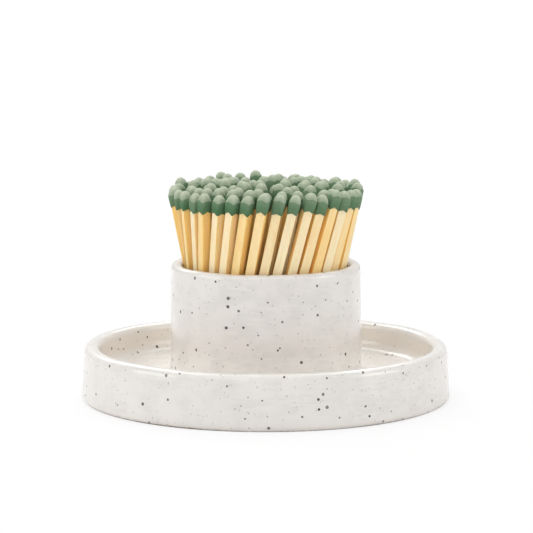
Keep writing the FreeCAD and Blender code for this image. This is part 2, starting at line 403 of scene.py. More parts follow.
def add_specks(tree, place, pattern):
    """A mask of scattered specks."""
    normal = tree.nodes.new("ShaderNodeNewGeometry").outputs["Normal"]
    inputs = {"Vector": place, "Normal": normal, **dict(zip(SPECK_INPUTS, pattern))}
    return place_group(tree, shared_group("Scattered Specks"), inputs)


def empty_tree(owner):
    """The cleared node tree of a material or a world."""
    owner.use_nodes = True
    owner.node_tree.nodes.clear()
    return owner.node_tree


def new_material(name, tint):
    """An empty material with its Principled shader. tint is its colour in the viewport."""
    material = bpy.data.materials.new(name)
    material.diffuse_color = (*tint, 1.0)
    tree = empty_tree(material)
    shader = tree.nodes.new("ShaderNodeBsdfPrincipled")
    add_node(tree, "OutputMaterial", {"Surface": shader.outputs[0]})
    return material, tree, shader


def object_place(tree):
    """The surface's own coordinates, in metres."""
    return tree.nodes.new("ShaderNodeTexCoord").outputs["Object"]


def scaled_place(tree, place, x, y, z):
    """Coordinates drawn out or pressed together along each axis."""
    return vector_math(tree, "MULTIPLY", place, (x, y, z))


def add_bump(tree, height, strength, distance, before=None):
    """A normal tilted by a height, after any other bump."""
    inputs = {"Height": height, "Strength": strength, "Distance": distance}
    if before is not None:
        inputs["Normal"] = before
    return add_node(tree, "Bump", inputs).outputs["Normal"]


def read_attribute(tree, name, output="Fac"):
    """A value that the mesh holds at its points."""
    return add_node(tree, "Attribute", attribute_name=name).outputs[output]


# The cup and tray

AROUND_WARE = 400
RING_STEP = 1.15 * MM
ARC_POINTS = 9
WARE_SEED = 5
# The foot stays as it is up to the first height, and the walls wander in full from the second
FOOT_STILL = (1.2 * MM, 4.2 * MM)
# The rims wave up and down in full from the second height
RIM_RISE = (8.0 * MM, 14.0 * MM)
# What counts as the bore: within this much of its radius, and this far below the rim
BORE_MARGIN, BORE_TOP = 0.3 * MM, 1.0 * MM


def rounded_profile(corners, step, arc_points):
    """Points along a profile in radius and height. Each corner with a radius becomes an arc: its centre
    is on the line that halves the corner, at the radius over the sine of half the corner's angle, and
    the arc's points are that centre plus the radius turned in equal steps from one edge's foot to the
    other's. Straight runs are divided into equal steps."""
    places = np.array([corner[:2] for corner in corners])
    marks = [places[:1]]
    for i, (_, _, radius, _) in enumerate(corners):
        if radius:
            back, onward = unit(places[i - 1] - places[i]), unit(places[i + 1] - places[i])
            half = math.acos(float(np.clip(back @ onward, -1, 1))) / 2
            centre = places[i] + unit(back + onward) * radius / math.sin(half)
            first = places[i] + back * radius / math.tan(half) - centre
            last = places[i] + onward * radius / math.tan(half) - centre
            start = math.atan2(first[1], first[0])
            turn = (math.atan2(last[1], last[0]) - start + math.pi) % (2 * math.pi) - math.pi
            angles = start + turn * np.linspace(0, 1, arc_points)
            marks.append(centre + radius * np.stack([np.cos(angles), np.sin(angles)], axis=1))
        else:
            marks.append(places[i : i + 1])
    runs = [marks[1]]
    for i in range(1, len(corners)):
        start, end = marks[i][-1], marks[i + 1][0]
        parts = max(1, math.ceil(np.linalg.norm(end - start) / (step * corners[i][3])))
        between = np.linspace(0, 1, parts + 1)[1:-1, None]
        runs += [start + (end - start) * between, marks[i + 1]]
    return np.concatenate(runs)


def unit(vectors):
    """Vectors of length 1."""
    return vectors / np.linalg.norm(vectors, axis=-1, keepdims=True)


def stoneware_corners(ware):
    """The profile from under the foot, over the tray's rim, up the cup, over its rim and down to its
    floor. Each corner has its radius, its height, the radius of its round, and how coarse the run
    before it is."""
    foot = ware.tray_diameter / 2
    recess = foot - ware.foot_ring
    outside = foot - ware.tray_taper / 2
    inside = outside - ware.tray_wall
    base = (ware.cup_diameter + ware.cup_taper) / 2
    rim = ware.cup_diameter / 2
    bore = rim - ware.cup_wall
    return [
        (0.0, ware.foot_recess, 0.0, 1.0),
        (recess - ware.foot_slope, ware.foot_recess, 0.0, 3.0),
        (recess, 0.0, 0.0, 2.0),
        (foot, 0.0, ware.foot_round, 2.0),
        (outside, ware.tray_height, ware.tray_rim_round, 0.8),
        (inside, ware.tray_height, ware.tray_rim_round, 1.0),
        (inside, ware.tray_floor, ware.tray_fillet, 1.0),
        (base, ware.tray_floor, ware.cup_fillet, 1.0),
        (rim, ware.cup_height, ware.cup_rim_round, 1.0),
        (bore, ware.cup_height, ware.cup_rim_round, 1.0),
        (bore, ware.cup_floor, ware.bore_fillet, 2.0),
        (0.0, ware.cup_floor, 0.0, 3.0),
    ]


def ramp(values, start, end):
    """0 up to the start and 1 from the end on, and straight in between. The end may be the lower one."""
    return np.clip((values - start) / (end - start), 0, 1)


def wander(angles, along, chance, turns, reach, waves):
    """Unevenness round and along the profile, mostly from -1 to 1: a sum of waves, each the cosine of a
    whole number of turns of the angle plus a multiple of the distance along the profile plus a random
    start."""
    total = np.zeros((len(along), len(angles)))
    for _ in range(waves):
        count = chance.integers(turns[0], turns[1] + 1)
        rate = chance.uniform(-1, 1) * reach
        start = chance.uniform(0, 2 * math.pi)
        total += np.cos(count * angles[None, :] + rate * along[:, None] + start)
    return total / math.sqrt(waves) / 2


def wander_round(angles, chance, turns, waves):
    """Unevenness that depends on the angle alone."""
    return wander(angles, np.zeros(1), chance, turns, 0.0, waves)


def part_of_tray(ware, line):
    """Which points of the profile belong to the tray: those past half way from the cup's side to the
    middle of the tray's wall."""
    return line[:, :1] > (ware.cup_diameter + ware.tray_diameter - ware.tray_wall) / 4


def uneven_rings(ware, line, angles, along, chance):
    """The radius and height of every point, moved by the wander. The tray moves only inwards, the bore
    only outwards, the rim never up past the cup's height and the foot not at all, so that the piece
    keeps within its solid's box, clears the matches and stands flat."""
    radius, height = (np.repeat(line[:, i : i + 1], len(angles), axis=1) for i in (0, 1))
    broad = wander(angles, along, chance, turns=(1, 4), reach=60.0, waves=10)
    fine = wander(angles, along, chance, turns=(5, 16), reach=420.0, waves=18)
    move = ware.unevenness * np.clip(0.65 * broad + 0.35 * fine, -1, 1)
    bore = ware.cup_diameter / 2 - ware.cup_wall
    in_bore = (radius < bore + BORE_MARGIN) & (height < ware.cup_height - BORE_TOP)
    sideways = np.where(part_of_tray(ware, line), -np.abs(move) * 0.8, move) * ramp(height, *FOOT_STILL)
    sideways = np.where(in_bore, np.abs(move) * 0.3, sideways)
    rim_wave = wander_round(angles, chance, turns=(2, 9), waves=9)
    raised = ware.unevenness * 1.3 * rim_wave * ramp(height, *RIM_RISE)
    raised = raised - np.maximum(height + raised - ware.cup_height, 0)
    return radius + sideways, height + np.where(in_bore, 0.0, raised)


# Bands of the glaze and of its painted shade and light:
# where an effect starts to show, and where it shows in full
DEEP_BAND = (8.0 * MM, 5.0 * MM)  # above the tray's floor
FLOOR_BAND = (1.8 * MM, 0.3 * MM)  # above the tray's floor
CUP_BAND = (3.0 * MM, 0.5 * MM)  # out from the cup's side
PAINTED_FLOOR_LIGHT_BAND = (16.0 * MM, 9.0 * MM)  # above the table
PAINTED_FLOOR_LIGHT_CUP_BAND = (6.0 * MM, 2.0 * MM)  # out from the cup's side
PAINTED_FLOOR_LIGHT_EDGE_BAND = (39.0 * MM, 35.0 * MM)  # from the axis
FOOT_PINK_BAND = (1.8 * MM, 1.0 * MM)  # above the table
PAINTED_BOUNCE_BAND = (21.0 * MM, 12.0 * MM)  # above the table
PAINTED_BOUNCE_START_BAND = (10.0 * MM, 17.0 * MM)  # above the table
# How much higher the foot's pink and the cup's painted bounce light reach where the glaze is patchy,
# at the foot and on the cup
FOOT_PATCH, CUP_PATCH = 0.6 * MM, 5.0 * MM
# How fast the smears fade below a rim
RIM_FADE = 3.5 * MM
# The lower edge of the glaze, and how far it wavers, in millimetres
GLAZE_EDGE, EDGE_WAVER = 0.35, 0.25


def glaze_masks(ware, line, angles, along, radius, height, chance):
    """How the glaze differs over the piece. bare is how many millimetres a point is below the wavering
    edge of the glaze, from -1 to 1, and 1 under the foot. The others run from 0 to 1: rim falls off as
    the exponent of the depth below the tray's or the cup's rim, painted_wall_shade is painted shade, a
    beige low on the tray's inner wall, painted_floor_light is painted light, a white low on the cup and
    on the tray's floor round it, and pink_foot_and_bounce is a pink just above the foot together with
    painted bounce light low on the cup."""
    rings = np.arange(len(line))[:, None]
    on_tray = part_of_tray(ware, line)
    wavering = GLAZE_EDGE + EDGE_WAVER * wander_round(angles, chance, turns=(2, 11), waves=8)
    patchy = 0.5 + 0.5 * wander(angles, along, chance, turns=(3, 12), reach=200.0, waves=12)
    under = rings <= np.flatnonzero(line[:, 1] < 0.01 * MM)[-1]
    outside = rings <= np.argmax(line[:, 1] * on_tray[:, 0])
    from_cup = radius - ware.cup_diameter / 2
    above_floor = height - ware.tray_floor
    on_cup = ramp(from_cup, *CUP_BAND)
    painted_patchiness = 0.8 + 0.2 * patchy
    depth = np.where(on_tray, ware.tray_height, ware.cup_height) - height
    # Painted shade, a beige low on the tray's inner wall
    painted_wall_shade = ramp(above_floor, *DEEP_BAND) * (0.95 - 0.8 * ramp(above_floor, *FLOOR_BAND)) * (1 - on_cup)
    # Painted light, a white low on the cup and on the tray's floor round it
    painted_floor_light = ramp(height, *PAINTED_FLOOR_LIGHT_BAND) * (from_cup > 0) * ramp(radius, *PAINTED_FLOOR_LIGHT_EDGE_BAND)
    painted_floor_light = painted_floor_light * (0.5 + 0.5 * ramp(from_cup, *PAINTED_FLOOR_LIGHT_CUP_BAND))
    # A pink band at the foot, and painted bounce light low on the cup
    foot_pink = ramp(height - FOOT_PATCH * patchy, *FOOT_PINK_BAND) * 0.6
    painted_bounce = ramp(height - CUP_PATCH * patchy, *PAINTED_BOUNCE_BAND) * ramp(height, *PAINTED_BOUNCE_START_BAND)
    return {
        "bare": np.where(under, 1.0, np.clip(wavering - height / MM, -1, 1)),
        "rim": np.exp(-depth / RIM_FADE) * patchy,
        "painted_wall_shade": np.where(outside, 0.0, painted_wall_shade) * painted_patchiness,
        "painted_floor_light": np.where(outside, 0.0, painted_floor_light) * painted_patchiness,
        "pink_foot_and_bounce": np.where(outside, foot_pink, painted_bounce * on_cup),
    }


def stoneware_mesh(ware):
    """A surface of two parameters, the angle round the axis and the distance along the profile: each
    point is the profile's point turned about the axis, with its radius and height moved by the wander.
    Two poles close it, under the foot and on the cup's floor."""
    line = rounded_profile(stoneware_corners(ware), RING_STEP, ARC_POINTS)[1:-1]
    along = np.append(0.0, np.cumsum(np.linalg.norm(np.diff(line, axis=0), axis=1)))
    angles = np.linspace(0, 2 * math.pi, AROUND_WARE, endpoint=False)
    chance = np.random.default_rng(WARE_SEED)
    radius, height = uneven_rings(ware, line, angles, along, chance)
    rows = np.stack([radius * np.cos(angles), radius * np.sin(angles), height], axis=-1)
    poles = np.array([[0, 0, ware.foot_recess], [0, 0, ware.cup_floor]])
    points = np.concatenate([rows.reshape(-1, 3), poles])
    ring = np.arange(AROUND_WARE)
    bottom = pole_fan(len(points) - 2, ring)[:, [0, 2, 1]]
    top = pole_fan(len(points) - 1, ring + (len(line) - 1) * AROUND_WARE)
    quads = tube_quads(len(line), AROUND_WARE)
    mesh = mesh_from_faces("stoneware", points, quads, np.concatenate([bottom, top]))
    at_poles = {"bare": (1.0, -1.0)}
    for name, values in glaze_masks(ware, line, angles, along, radius, height, chance).items():
        add_attribute(mesh, name, np.append(values.ravel(), at_poles.get(name, (0.0, 0.0))))
    return mesh


# How strongly the pink clouds show beside the grey ones, and the smears away from a rim beside those at it
PINK_SHARE, PATCH_SHARE = 0.7, 0.8
# The shade of the smears beside the grey of the clouds, and of the grit beside the clay
SMEAR_SHADE, GRIT_SHADE = 0.86, 0.55
# Over what distance the glaze thins out to bare clay, and how far noise moves its edge, in millimetres
BARE_STEP, BARE_NOISE = (-0.06, 0.1), 0.5


def glaze_material(ware):
    """Glossy white glaze: grey and pink clouds, short brushed smears that gather at the rims, a beige
    painted shade low on the tray's inner wall, a white painted light low on the cup and on the tray's
    floor round it, pink painted bounce light low on the cup, a pink band at the foot, iron specks in
    three sizes, and a bare clay foot."""
    material, tree, shader = new_material("speckled_glaze", ware.glaze)
    place = object_place(tree)
    shifted = vector_math(tree, "ADD", place, (0.3, 0.1, 0.2))

    grey = add_cloud(tree, place, scale=90.0, detail=4.0, contrast=0.2)
    pink = add_cloud(tree, shifted, scale=70.0, detail=4.0, contrast=0.3)
    brushed = scaled_place(tree, place, 0.22, 0.22, 1.0)
    smears = add_cloud(tree, brushed, scale=1300.0, detail=3.0, contrast=0.8)
    stroked = scaled_place(tree, shifted, 0.2, 0.2, 1.0)
    strokes = add_cloud(tree, stroked, scale=620.0, detail=3.0, contrast=0.75)
    patches = add_cloud(tree, shifted, scale=190.0, detail=2.0, contrast=0.6)
    painted_wall_shade = read_attribute(tree, "painted_wall_shade")

    tone = add_blend(tree, times(tree, grey, ware.cloudiness), ware.glaze, ware.grey_cloud)
    # Pink clouds, or the pink band at the foot and the painted bounce light low on the cup
    warm = larger(tree, times(tree, pink, ware.cloudiness * PINK_SHARE), read_attribute(tree, "pink_foot_and_bounce"))
    tone = add_blend(tree, warm, tone, ware.pink_cloud_and_bounce)
    # Painted shade low on the tray's inner wall
    tone = add_blend(tree, painted_wall_shade, tone, ware.pool)
    # Painted light low on the cup and on the tray's floor round it
    tone = add_blend(tree, read_attribute(tree, "painted_floor_light"), tone, ware.painted_floor_light_tint)
    where = larger(tree, times(tree, patches, PATCH_SHARE), read_attribute(tree, "rim"))
    where = minus(tree, where, painted_wall_shade, clamp=True)
    streak = times(tree, larger(tree, smears, strokes), where)
    smeared = times(tree, streak, ware.brush_marks)
    tone = add_blend(tree, smeared, tone, shade(ware.grey_cloud, SMEAR_SHADE))

    bold = add_specks(tree, place, BOLD_SPECKS)
    small = add_specks(tree, shifted, SMALL_SPECKS)
    faint = add_specks(tree, scaled_place(tree, shifted, 1.0, 1.0, 0.7), FAINT_SPECKS)
    dark = larger(tree, times(tree, small, 0.85), times(tree, faint, 0.3))
    tone = add_blend(tree, larger(tree, bold, dark), tone, ware.speck)

    edge_noise = minus(tree, add_noise(tree, place, 900.0, 3.0), 0.5)
    edge = plus(tree, read_attribute(tree, "bare"), times(tree, edge_noise, BARE_NOISE))
    bare = add_step(tree, edge, *BARE_STEP)
    grit = add_noise(tree, place, 2600.0, 3.0)
    clay = add_blend(tree, add_step(tree, grit, 0.35, 0.7, 0.5), ware.clay, shade(ware.clay, GRIT_SHADE))
    mottle = add_cloud(tree, place, scale=420.0, detail=3.0, contrast=0.3)
    sheen = plus(tree, times(tree, mottle, 0.08), ware.gloss)
    turned = add_bump(tree, add_noise(tree, place, 130.0, 1.0, roughness=0.4), 0.3, 0.2 * MM)
    pits = minus(tree, times(tree, grit, bare), times(tree, bold, 0.4))
    set_inputs(tree, shader, {
        "Base Color": add_blend(tree, bare, tone, clay),
        "Roughness": plus(tree, sheen, times(tree, bare, 0.6), clamp=True),
        "Coat Weight": times(tree, minus(tree, 1.0, bare), 0.8),
        "Coat Roughness": 0.16,
        "IOR": 1.5,
        "Normal": add_bump(tree, pits, 0.6, 0.08 * MM, turned),
    })
    return material


# The matches

STICK_SEED, HEAD_SEED = 100, 200


def solids_of(node):
    """The separate solids of a CAD node, as an array of solid, corner and place. Triangles that share a
    corner belong to one solid: each corner starts with its own number and takes the lowest in its
    triangles, until nothing changes."""
    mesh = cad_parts[node].data
    places = np.empty(len(mesh.vertices) * 3, np.float32)
    mesh.vertices.foreach_get("co", places)
    used = np.empty(len(mesh.loops), np.int32)
    mesh.loops.foreach_get("vertex_index", used)
    points, number = np.unique(places.reshape(-1, 3), axis=0, return_inverse=True)
    triangles = number.ravel()[used].reshape(-1, 3)
    owner = np.arange(len(points))
    changed = True
    while changed:
        lower = owner.copy()
        np.minimum.at(lower, triangles.ravel(), np.repeat(owner[triangles].min(axis=1), 3))
        changed = (lower != owner).any()
        owner = lower
    order = np.argsort(owner, kind="stable")
    return points[order].reshape(len(np.unique(owner)), -1, 3).astype(float)


def matches_of(bunch):
    """Where the matches of a bunch stand, read from their solids: the start of each stick, its
    directions along, to one side and across, its width and length, and how far along its head begins
    and ends. From one corner of a stick, its nearest corner gives the side and the fourth nearest gives
    the length."""
    sticks = solids_of(f"{STICKS}{bunch}")
    heads = solids_of(f"{HEADS}{bunch}")
    from_first = sticks - sticks[:, :1]
    order = np.argsort(np.linalg.norm(from_first, axis=-1), axis=1)
    side, along = (np.take_along_axis(from_first, order[:, i, None, None], axis=1)[:, 0] for i in (1, 4))
    width = np.linalg.norm(side, axis=-1)
    long = np.linalg.norm(along, axis=-1)
    along = unit(along * np.sign(along[:, 2:]))
    side = unit(side)
    centre = sticks.mean(axis=1)
    start = centre - along * long[:, None] / 2
    tips = centre + along * long[:, None] / 2
    pair = np.linalg.norm(tips[:, None] - heads.mean(axis=1)[None], axis=-1).argmin(axis=1)
    reach = np.einsum("mcx,mx->mc", heads[pair] - start[:, None], along)
    return {
        "start": start, "along": along, "side": side, "across": np.cross(along, side),
        "width": width, "long": long, "dip": reach.min(axis=1), "whole": reach.max(axis=1),
    }


def placed(found, x, y, z):
    """Points given to the side, across and along each match, as arrays of match, ring and step, moved
    to their places."""
    axes = (found["side"], found["across"], found["along"])
    spread = sum(value[..., None] * axis[:, None, None, :] for value, axis in zip((x, y, z), axes))
    return found["start"][:, None, None, :] + spread


def many_quads(copies, rings, around):
    """The quads of many tubes whose points follow each other, and the rings that close their ends."""
    shift = (np.arange(copies) * rings * around)[:, None, None]
    quads = (tube_quads(rings, around)[None] + shift).reshape(-1, 4)
    ring = np.arange(around)
    low = ring[::-1][None] + shift[:, 0]
    high = ring[None] + (rings - 1) * around + shift[:, 0]
    return quads, low, high


# The eight points of a stick's section in turn: the corner that each is beside, whether it is set back from
# it in x or in y, and that corner's signs
CORNER = np.array([3, 0, 0, 1, 1, 2, 2, 3])
BACK_X = np.array([0, 0, 1, 1, 0, 0, 1, 1])
BACK_Y = 1 - BACK_X
SIGN_X = np.array([1, -1, -1, 1])[CORNER]
SIGN_Y = np.array([1, 1, -1, -1])[CORNER]
# How far along a stick its rings are, how far its end rings are set in, and how uneven its faces are
RING_SHARES = np.array([0.0, 0.004, 0.35, 0.62, 0.8, 0.996, 1.0])
END_INSET = 0.12 * MM
SPLIT_UNEVENNESS = 0.035 * MM


def stick_mesh(bunch, look):
    """Each stick is a square with broken edges carried along the match. Its two parameters are the
    corner of the section and the distance along; the corner's place is half the width, less or more a
    small split unevenness at each distance. The pair of faces that looks round the cup is marked for
    painted shade."""
    found = matches_of(bunch)
    chance = np.random.default_rng(STICK_SEED + bunch)
    copies, rings = len(found["width"]), len(RING_SHARES)
    inset = END_INSET * ((RING_SHARES == 0) | (RING_SHARES == 1))[None, :, None]
    half = found["width"][:, None, None] / 2
    cut = (look.broken_edge * chance.uniform(0.5, 1.5, (copies, 1, 4)))[:, :, CORNER]
    uneven = (SPLIT_UNEVENNESS * chance.uniform(-1, 0.4, (copies, rings, 4)))[:, :, CORNER]
    x = SIGN_X * (half - cut * BACK_X - inset + uneven)
    y = SIGN_Y * (half - cut * BACK_Y - inset + uneven)
    z = found["long"][:, None, None] * RING_SHARES[None, :, None] + 0 * x
    points = placed(found, x, y, z).reshape(-1, 3)
    quads, low, high = many_quads(copies, rings, len(CORNER))
    mesh = mesh_from_faces(f"stick_bunch_{bunch}", points, quads, caps=np.concatenate([low, high]))
    mesh.polygons.foreach_set("use_smooth", np.zeros(len(mesh.polygons), bool))
    apart = chance.uniform(0, 100, (copies, 1, 1, 3))
    grain = np.stack([x, y, z], axis=-1) / MM + apart
    add_attribute(mesh, "grain", grain.reshape(-1, 3))
    add_attribute(mesh, "tone", np.repeat(chance.uniform(0, 1, copies), rings * len(CORNER)))
    # Painted shade: the pair of faces that looks round the cup is marked to be coloured golden as shade
    outward = unit((found["start"] + found["along"] * found["long"][:, None] / 2) * (1, 1, 0))
    side_out, across_out = (np.abs(np.sum(found[axis] * outward, axis=1)) for axis in ("side", "across"))
    painted_side_shade = (BACK_X == 0)[None] != (side_out > across_out)[:, None]
    add_attribute(mesh, "painted_side_shade", np.repeat(painted_side_shade[:, None, :], rings, axis=1).ravel())
    return mesh


# The shade of the broken edges, and of the fibres, beside the warm wood
EDGE_SHADE, FIBRE_SHADE = 0.85, 0.75


def wood_material(look):
    """Split aspen: pale cream to gold from stick to stick, with fine darker streaks along the grain,
    painted shade as a golden tone on the faces that look round the cup, beside the pale faces that look
    out and in, and darker broken edges. painted_side_shade is 0 or 1 on a face, and passes through a
    half across each broken edge."""
    material, tree, shader = new_material("aspen", look.pale_wood)
    grain = read_attribute(tree, "grain", "Vector")
    painted_side_shade = read_attribute(tree, "painted_side_shade")
    long_grain = scaled_place(tree, grain, 1.0, 1.0, 0.045)
    streaks = add_cloud(tree, long_grain, scale=2.2, detail=4.0, contrast=0.1)
    broad = add_cloud(tree, long_grain, scale=0.55, detail=1.0, contrast=0.1)
    fibres = add_noise(tree, scaled_place(tree, grain, 1.0, 1.0, 0.02), 9.0, 3.0)

    warm = add_step(tree, read_attribute(tree, "tone"), 0.25, 1.0, 0.65)
    warm = plus(tree, warm, times(tree, broad, 0.2))
    warm = plus(tree, warm, times(tree, streaks, 0.25))
    # Painted shade: the faces that look round the cup turn golden
    warm = plus(tree, warm, times(tree, painted_side_shade, 0.5), clamp=True)
    wood = add_blend(tree, warm, look.pale_wood, look.warm_wood)
    from_edge = add_math(tree, "ABSOLUTE", minus(tree, painted_side_shade, 0.5))
    broken = add_step(tree, from_edge, 0.5, 0.3, 0.45)
    wood = add_blend(tree, broken, wood, shade(look.warm_wood, EDGE_SHADE))
    fine = add_step(tree, fibres, 0.45, 0.75, 0.35)
    set_inputs(tree, shader, {
        "Base Color": add_blend(tree, fine, wood, shade(look.warm_wood, FIBRE_SHADE)),
        "Roughness": plus(tree, times(tree, fibres, 0.25), 0.5),
        "Normal": add_bump(tree, fibres, 0.5, 0.06 * MM),
        "IOR": 1.45,
        "Subsurface Weight": 0.4,
        "Subsurface Radius": (1.0, 0.6, 0.35),
        "Subsurface Scale": 1.6 * MM,
    })
    return material


# The angles of a quarter of a head's ring, closer together at its corner
QUARTER = np.radians([0.0, 32.0, 45.0, 58.0])
HEAD_ANGLES = (np.arange(4)[:, None] * math.pi / 2 + QUARTER).ravel()
AROUND_HEAD = len(HEAD_ANGLES)
# How far a head stops short of its solid's tip, and how much its dome's arch rises over a side
HEAD_GAP, ARCH_RISE = 0.04 * MM, 0.42 * MM
# How far above its crease a head's tip counts as lying, in millimetres
TIP_RISE = 2.0


def head_mesh(bunch, look):
    """Each head is a rounded square carried up the match. Its two parameters are the angle round the
    match and the height: the radius at an angle is the half width over the p-th root of the sum of the
    p-th powers of the cosine and the sine, with p falling from a square's at the dip's edge to a
    circle's on the dome. The edge runs down in a tooth at each corner and the dome starts in an arch
    over each side, both by the absolute cosine of twice the angle."""
    found = matches_of(bunch)
    chance = np.random.default_rng(HEAD_SEED + bunch)
    copies = len(found["width"])
    arch = np.abs(np.cos(2 * HEAD_ANGLES))[None, None, :]

    def vary(low, high, columns=1):
        """Random numbers between two bounds, one or more for each head."""
        return chance.uniform(low, high, (copies, 1, columns))

    half_width = found["width"][:, None, None] / 2
    low = found["dip"][:, None, None]
    top = found["whole"][:, None, None] - low - HEAD_GAP
    tooth = look.dip_tooth * vary(0.6, 1.3)
    edge = tooth * arch + vary(-0.12, 0.12) * MM + vary(-0.13, 0.13, AROUND_HEAD) * MM
    crease = top - look.dome * vary(0.9, 1.08) + ARCH_RISE * arch
    shoulder = half_width + look.shoulder * vary(0.85, 1.05)
    skirt = half_width + look.skirt * vary(0.8, 1.3)
    # Each ring's height, half width and p
    profile = [
        (edge, skirt, 8.0),
        (0.4 * crease, skirt * 0.15 + shoulder * 0.85, 6.0),
        (crease - 0.07 * MM, shoulder, 5.0),
        (crease + 0.1 * MM, shoulder * 0.94, 4.0),
        (crease + (top - crease) * 0.52, shoulder * 0.8, 2.8),
        (crease + (top - crease) * 0.87, shoulder * 0.46, 2.1),
    ]
    heights = np.concatenate([height + 0 * arch for height, _, _ in profile], axis=1)
    cosines, sines = np.cos(HEAD_ANGLES), np.sin(HEAD_ANGLES)
    radii = np.concatenate([
        half / (np.abs(cosines) ** p + np.abs(sines) ** p) ** (1 / p) * (1 + vary(-0.012, 0.012, AROUND_HEAD))
        for _, half, p in profile
    ], axis=1)
    lean = np.clip(heights / top, 0, 1) ** 2
    x = radii * cosines + lean * vary(-0.12, 0.12) * MM
    y = radii * sines + lean * vary(-0.12, 0.12) * MM
    points = placed(found, x, y, heights + low)
    tip_x, tip_y = (value[:, -1:].mean(axis=2, keepdims=True) for value in (x, y))
    tips = placed(found, tip_x, tip_y, top + low)
    everything = np.concatenate([points.reshape(-1, 3), tips.reshape(-1, 3)])

    rings = len(profile)
    quads, base, last = many_quads(copies, rings, AROUND_HEAD)
    poles = np.repeat(len(everything) - copies + np.arange(copies)[:, None], AROUND_HEAD, axis=1)
    fans = np.stack([last, np.roll(last, -1, axis=1), poles], axis=-1).reshape(-1, 3)
    mesh = mesh_from_faces(f"head_bunch_{bunch}", everything, quads, fans, base)
    rise = (heights - crease) / MM
    add_attribute(mesh, "rise", np.append(rise.ravel(), np.full(copies, TIP_RISE)))
    tone = chance.uniform(0, 1, copies)
    add_attribute(mesh, "tone", np.append(np.repeat(tone, rings * AROUND_HEAD), tone))
    return mesh


# The shade of the chips in the skin beside the dome's pale green
CHIP_SHADE = 1.2


def head_material(look):
    """Dried match compound: matt deep green sides that grow paler towards the dome, a paler dome that is
    partly dust and partly painted light from above, paler still towards its tip as painted light, and
    a powdery skin with small chips."""
    material, tree, shader = new_material("match_compound", look.head_green)
    place = object_place(tree)
    uneven = minus(tree, add_noise(tree, place, 1500.0, 2.0), 0.5)
    edge = plus(tree, read_attribute(tree, "rise"), times(tree, uneven, 0.35))
    # The dome is paler than the sides, partly as dust and partly as painted light from above; the crown is
    # painted light, paler towards the tip
    dome = add_step(tree, edge, -0.09, 0.1, 0.6)
    crown = add_step(tree, edge, 0.1, 1.7, 0.4)
    dust_and_top_light = plus(tree, dome, crown, clamp=True)
    powder = add_cloud(tree, place, scale=1100.0, detail=3.0, contrast=0.1)
    side_paleness = plus(tree, times(tree, powder, 0.05), times(tree, read_attribute(tree, "tone"), 0.13))
    # The sides grow paler towards the dome
    side_paleness = plus(tree, side_paleness, add_step(tree, edge, -2.2, 0.1, 0.11))
    skin = add_blend(tree, larger(tree, dust_and_top_light, side_paleness), look.head_green, look.dust_and_top_light_green)
    chipped = times(tree, add_specks(tree, place, HEAD_CHIPS), 0.5)
    grit = minus(tree, add_noise(tree, place, 3800.0, 3.0, roughness=0.6), chipped)
    set_inputs(tree, shader, {
        "Base Color": add_blend(tree, chipped, skin, shade(look.dust_and_top_light_green, CHIP_SHADE)),
        "Roughness": plus(tree, times(tree, powder, 0.15), 0.78),
        "Normal": add_bump(tree, grit, 0.6, 0.06 * MM),
        "IOR": 1.4,
    })
    return material


# The stage

AROUND_FLOOR = 96
FLOOR_REACH = np.array([0.1, 0.25, 0.6, 1.5, 4.0])
FLOOR_HEIGHT = -0.02 * MM
# Between these distances from the middle the floor's shadow fades to plain white
SHADOW_FADE = (0.06, 0.22)
# How bright the sky is in reflections, beside the plain white that the camera sees
REFLECTED_SKY = 0.75
LIGHT_AIM = (0.0, 0.0, 0.02)
# Each light's place, its width and height, and the setting that gives its power with the light's part of it
LIGHTS = {
    "key_light": ((-0.05, -0.12, 0.85), (1.1, 0.7), "key_power", 1.0),
    "back_light": ((0.0, 0.35, 0.75), (1.0, 0.4), "back_power", 1.0),
    "back_left_light": ((-0.3, 0.6, 0.5), (0.3, 0.25), "corner_power", 1.2),
    "back_right_light": ((0.12, 0.66, 0.5), (0.2, 0.2), "corner_power", 0.6),
    "glint_light": ((-0.226, -0.485, 0.595), (0.34, 0.11), "glint_power", 1.0),
    "front_light": ((0.03, -0.78, 0.26), (0.7, 0.6), "front_power", 1.0),
    "left_light": ((-0.85, -0.25, 0.3), (0.5, 0.5), "side_power", 1.0),
    "right_light": ((0.85, -0.25, 0.3), (0.5, 0.5), "side_power", 1.0),
}
SENSOR_WIDTH = 36.0
# The photograph's striker stands a hair left of the picture's middle
CAMERA_SHIFT = 0.00137


def floor_mesh():
    """A flat disc: its two parameters are the angle and the distance from the middle."""
    angles = np.linspace(0, 2 * math.pi, AROUND_FLOOR, endpoint=False)
    reach = FLOOR_REACH[:, None]
    x, y = reach * np.cos(angles), reach * np.sin(angles)
    rows = np.stack([x, y, 0 * x + FLOOR_HEIGHT], axis=-1)
    points = np.concatenate([rows.reshape(-1, 3), [[0, 0, FLOOR_HEIGHT]]])
    quads = tube_quads(len(FLOOR_REACH), AROUND_FLOOR)[:, ::-1]
    return mesh_from_faces("studio_floor", points, quads, pole_fan(len(points) - 1, np.arange(AROUND_FLOOR)))


def seen_straight(tree):
    """1 for rays that come from the camera or through glass, and 0 for others, with the ray kinds'
    node."""
    rays = tree.nodes.new("ShaderNodeLightPath")
    return larger(tree, rays.outputs["Is Camera Ray"], rays.outputs["Is Transmission Ray"]), rays


